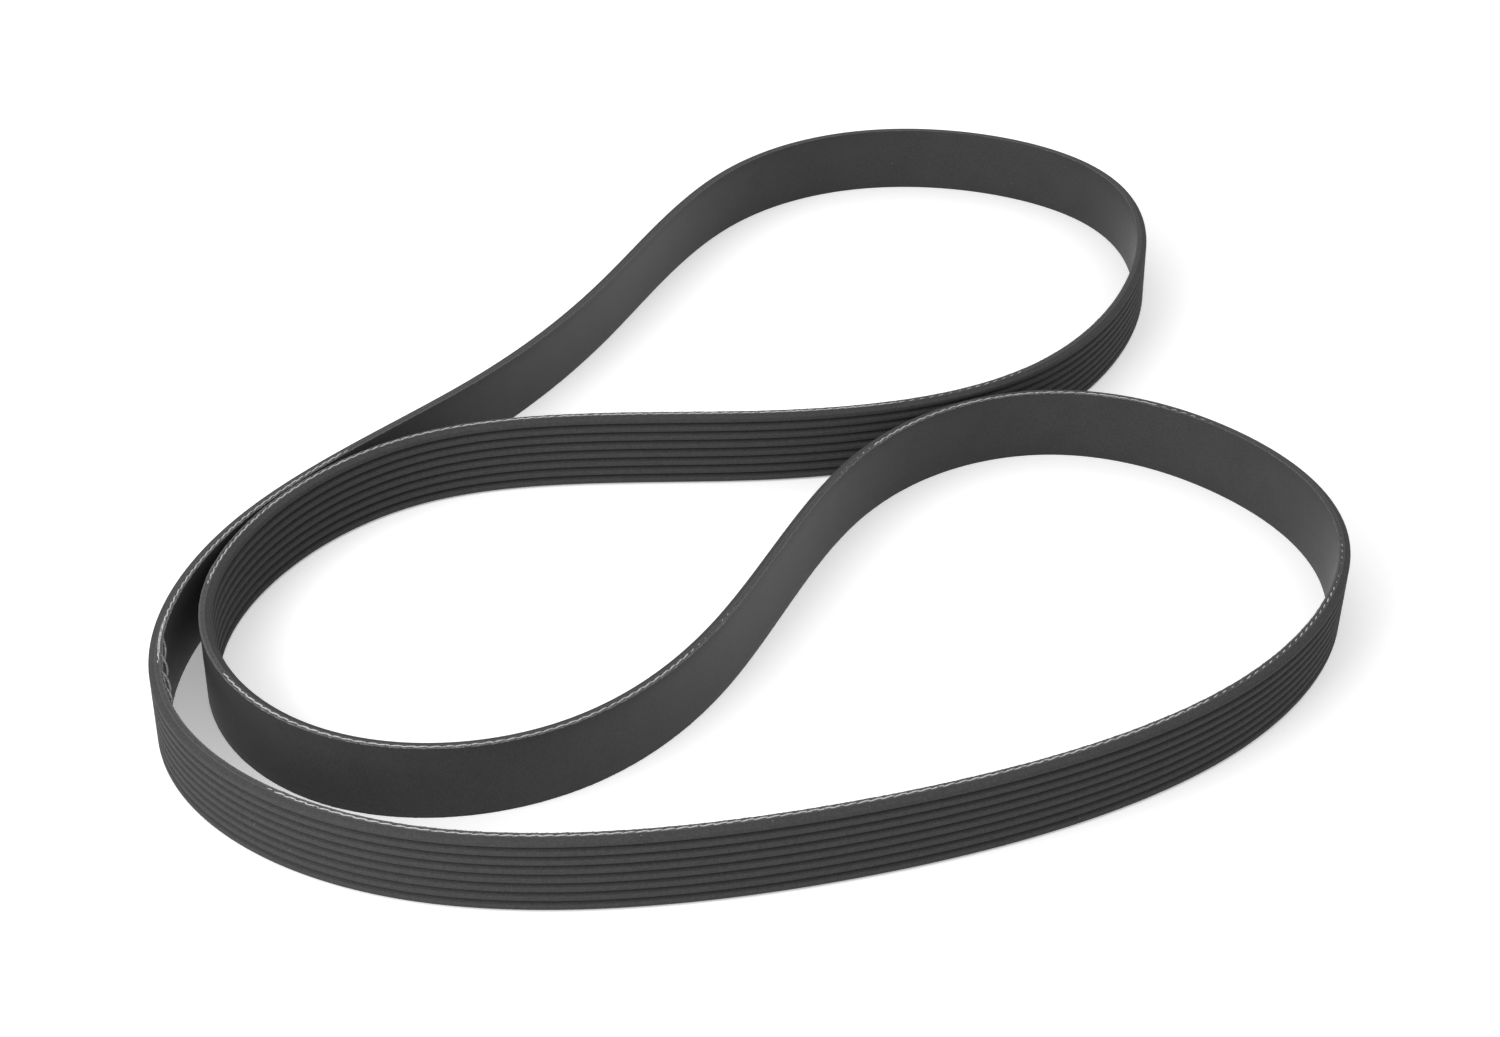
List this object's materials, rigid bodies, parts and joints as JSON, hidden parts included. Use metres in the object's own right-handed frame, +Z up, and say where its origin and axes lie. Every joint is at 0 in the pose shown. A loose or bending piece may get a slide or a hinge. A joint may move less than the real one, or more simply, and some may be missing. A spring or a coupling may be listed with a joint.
{
  "type": "serpentine belt",
  "caption": "Endless ribbed rubber drive belt resting on its cut edge in a loose folded loop, ribs outward and smooth back inward.",
  "frame": {"origin": "middle of the loop's plan box, on the surface that the belt stands on", "axes": "+Z up, across the belt's width from the lower cut edge to the upper one; +Y along the loop's longer side, from the wide front lobe to the rear lobe; +X to the right of the front run"},
  "size_m": [0.412, 0.5244, 0.0285],
  "materials": {
    "belt_rubber": "matte"
  },
  "bodies": {
    "root": {"belt": "belt_rubber"}
  },
  "joints": []
}
